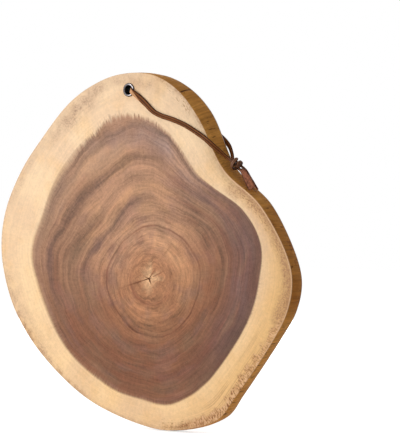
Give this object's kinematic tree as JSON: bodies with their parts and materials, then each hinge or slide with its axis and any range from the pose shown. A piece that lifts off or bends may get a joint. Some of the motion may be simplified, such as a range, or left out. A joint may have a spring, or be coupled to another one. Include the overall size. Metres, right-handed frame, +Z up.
{
  "type": "wooden cutting board",
  "caption": "Live-edge wooden cutting and serving board, a slice sawn across a trunk, with an eyelet-lined hanging hole near its top and a knotted leather lace looped through it.",
  "frame": {"origin": "middle of the hanging hole, on its axis at mid thickness", "axes": "+Z up as the board hangs, -Y out of the front face, +X to the right seen from the front"},
  "size_m": [0.3109, 0.0244, 0.3088],
  "materials": {
    "wood": "sanded smooth and oiled, satin",
    "eyelet_metal": "dark plated, semi-gloss",
    "lace_leather": "brown lacing leather, waxed"
  },
  "bodies": {
    "board": {"slab": "wood", "front_eyelet": "eyelet_metal", "back_eyelet": "eyelet_metal"},
    "lace": {"lace_front": "lace_leather", "lace_back": "lace_leather"}
  },
  "joints": [
    {"name": "lace_swing", "type": "hinge", "parent": "board", "child": "lace", "pos_m": [0, 0, 0], "axis": [0, -1, 0], "range_deg": [0, 124]}
  ]
}
